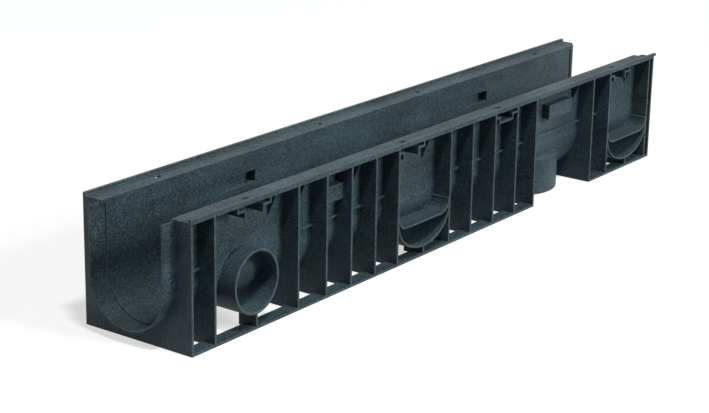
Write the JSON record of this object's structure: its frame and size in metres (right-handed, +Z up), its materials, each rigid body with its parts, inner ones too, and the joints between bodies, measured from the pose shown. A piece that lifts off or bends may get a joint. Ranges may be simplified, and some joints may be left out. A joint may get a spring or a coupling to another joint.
{
  "type": "channel drain",
  "caption": "One-piece drainage channel body: a ribbed U trough with rails for a grate, a spigot and a socket end, and knock-out outlets at the side and below.",
  "frame": {"origin": "on the ground, on the centre line, at the outer face of the front end plate (the end with the spigot)", "axes": "+X along the channel towards the socket end, +Y to its left, +Z up"},
  "size_m": [1.024, 0.155, 0.1525],
  "materials": {
    "body": "fine moulded grain, dark grey polypropylene"
  },
  "bodies": {
    "root": {"channel_body": "body"}
  },
  "joints": []
}
